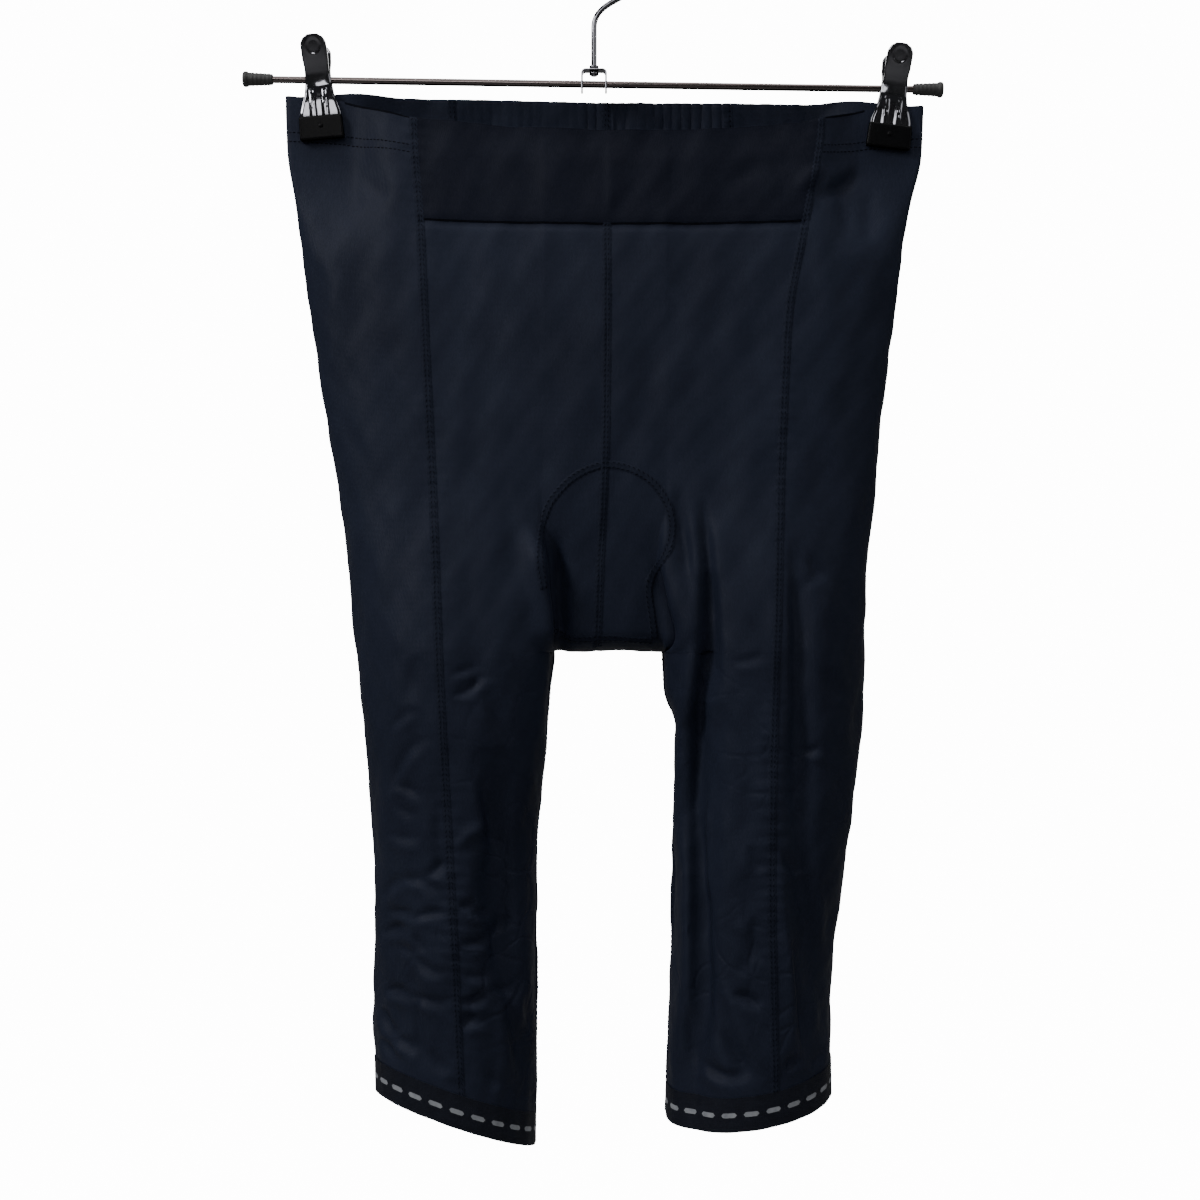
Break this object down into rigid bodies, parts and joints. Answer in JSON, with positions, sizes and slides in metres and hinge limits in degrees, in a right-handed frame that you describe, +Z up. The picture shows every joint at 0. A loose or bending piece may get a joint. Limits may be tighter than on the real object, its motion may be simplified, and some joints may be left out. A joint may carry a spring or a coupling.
{
  "type": "three-quarter cycling tights on a clip hanger",
  "caption": "Black stretch three-quarter cycling tights with a padded seat and elastic hem bands, clipped at the waist to a metal hanger with a hook.",
  "frame": {"origin": "inside of the crown of the hanger's hook, where a rail carries it", "axes": "+Z up, -Y the front of the tights, +X the wearer's left"},
  "size_m": [0.42, 0.1013, 0.7453],
  "materials": {
    "lycra": "smooth stretch knit with a slight sheen",
    "pad": "soft brushed foam-backed knit",
    "elastic": "ribbed woven elastic with plain grey printed marks",
    "chrome": "polished plated steel",
    "vinyl": "glossy dipped vinyl",
    "cap_rubber": "matt moulded rubber"
  },
  "bodies": {
    "root": {"waist_yoke": "lycra", "front_right": "lycra", "front_left": "lycra", "side_right": "lycra", "side_left": "lycra", "back_right": "lycra", "back_left": "lycra", "seat_pad": "pad", "cuff_right": "elastic", "cuff_left": "elastic", "hook": "chrome", "bracket": "chrome", "bar": "chrome", "end_cap_right": "cap_rubber", "end_cap_left": "cap_rubber", "clip_right_front_leaf": "chrome", "clip_right_front_jaw": "vinyl", "clip_right_back_leaf": "chrome", "clip_right_back_jaw": "vinyl", "clip_left_front_leaf": "chrome", "clip_left_front_jaw": "vinyl", "clip_left_back_leaf": "chrome", "clip_left_back_jaw": "vinyl"}
  },
  "joints": []
}
